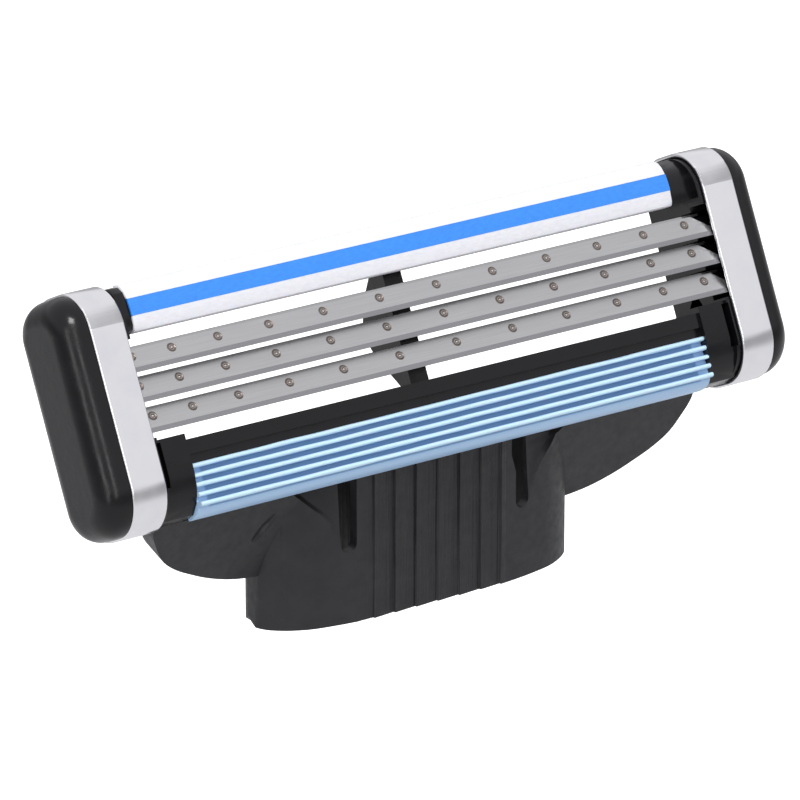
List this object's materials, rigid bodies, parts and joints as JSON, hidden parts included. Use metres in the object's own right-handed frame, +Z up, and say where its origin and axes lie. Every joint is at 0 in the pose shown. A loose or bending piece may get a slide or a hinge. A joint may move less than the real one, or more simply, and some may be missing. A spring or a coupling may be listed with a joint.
{
  "type": "cartridge razor",
  "caption": "Wet-shaving cartridge: a pivoting head with slim sprung blades, a finned soft guard and a lubricating strip, on a socket for a handle.",
  "frame": {"origin": "centre of the mouth of the handle socket, in the plane of its rim", "axes": "+X along the blades to the right, -Y to the front where the guard is, +Z up the socket towards the blade head"},
  "size_m": [0.0418, 0.0088, 0.0196],
  "materials": {
    "connector_plastic": "satin black moulding",
    "black_plastic": "polished black moulding",
    "clip_aluminium": "bright rolled sheet, folded",
    "blade_steel": "ground, fine lengthwise grain",
    "support_steel": "rolled strip",
    "strip_white": "dry polymer soap, satin",
    "stripe_blue": "dyed polymer, satin",
    "guard_elastomer": "soft moulded elastomer, satin"
  },
  "bodies": {
    "connector": {"connector": "connector_plastic"},
    "head": {"housing": "black_plastic", "clip_left": "clip_aluminium", "clip_right": "clip_aluminium", "lubricating_strip": "strip_white", "indicator_stripe": "stripe_blue", "guard_fins": "guard_elastomer"},
    "blade_1": {"blade_1": "blade_steel", "blade_support_1": "support_steel"},
    "blade_2": {"blade_2": "blade_steel", "blade_support_2": "support_steel"},
    "blade_3": {"blade_3": "blade_steel", "blade_support_3": "support_steel"},
    "finger_left_1": {"spring_finger_left_1": "black_plastic"},
    "finger_left_2": {"spring_finger_left_2": "black_plastic"},
    "finger_left_3": {"spring_finger_left_3": "black_plastic"},
    "finger_right_1": {"spring_finger_right_1": "black_plastic"},
    "finger_right_2": {"spring_finger_right_2": "black_plastic"},
    "finger_right_3": {"spring_finger_right_3": "black_plastic"}
  },
  "joints": [
    {"name": "head_pivot", "type": "hinge", "parent": "connector", "child": "head", "pos_m": [0, -0.00366, 0.01082], "axis": [-1, 0, 0], "range_deg": [0, 41]},
    {"name": "blade_1_give", "type": "slide", "parent": "head", "child": "blade_1", "axis": [0, 0.8949, -0.4462], "range_m": [0, 0.00025], "stiffness_N_per_m": 1200},
    {"name": "finger_left_1_flex", "type": "hinge", "parent": "head", "child": "finger_left_1", "pos_m": [-0.01722, 0.00073, 0.01566], "axis": [0, 0.4462, 0.8949], "range_deg": [0, 7]},
    {"name": "finger_right_1_flex", "type": "hinge", "parent": "head", "child": "finger_right_1", "pos_m": [0.01722, 0.00073, 0.01566], "axis": [0, -0.4462, -0.8949], "range_deg": [0, 7]},
    {"name": "blade_2_give", "type": "slide", "parent": "head", "child": "blade_2", "axis": [0, 0.8949, -0.4462], "range_m": [0, 0.00025], "stiffness_N_per_m": 1200},
    {"name": "finger_left_2_flex", "type": "hinge", "parent": "head", "child": "finger_left_2", "pos_m": [-0.01722, 0.00007, 0.01433], "axis": [0, 0.4462, 0.8949], "range_deg": [0, 7]},
    {"name": "finger_right_2_flex", "type": "hinge", "parent": "head", "child": "finger_right_2", "pos_m": [0.01722, 0.00007, 0.01433], "axis": [0, -0.4462, -0.8949], "range_deg": [0, 7]},
    {"name": "blade_3_give", "type": "slide", "parent": "head", "child": "blade_3", "axis": [0, 0.8949, -0.4462], "range_m": [0, 0.00025], "stiffness_N_per_m": 1200},
    {"name": "finger_left_3_flex", "type": "hinge", "parent": "head", "child": "finger_left_3", "pos_m": [-0.01722, -0.00062, 0.01295], "axis": [0, 0.4462, 0.8949], "range_deg": [0, 7]},
    {"name": "finger_right_3_flex", "type": "hinge", "parent": "head", "child": "finger_right_3", "pos_m": [0.01722, -0.00062, 0.01295], "axis": [0, -0.4462, -0.8949], "range_deg": [0, 7]}
  ],
  "couplings": [
    {"joint": "finger_left_1_flex", "follows": "blade_1_give", "rad_per_m": 470},
    {"joint": "finger_right_1_flex", "follows": "blade_1_give", "rad_per_m": 470},
    {"joint": "finger_left_2_flex", "follows": "blade_2_give", "rad_per_m": 470},
    {"joint": "finger_right_2_flex", "follows": "blade_2_give", "rad_per_m": 470},
    {"joint": "finger_left_3_flex", "follows": "blade_3_give", "rad_per_m": 470},
    {"joint": "finger_right_3_flex", "follows": "blade_3_give", "rad_per_m": 470}
  ]
}
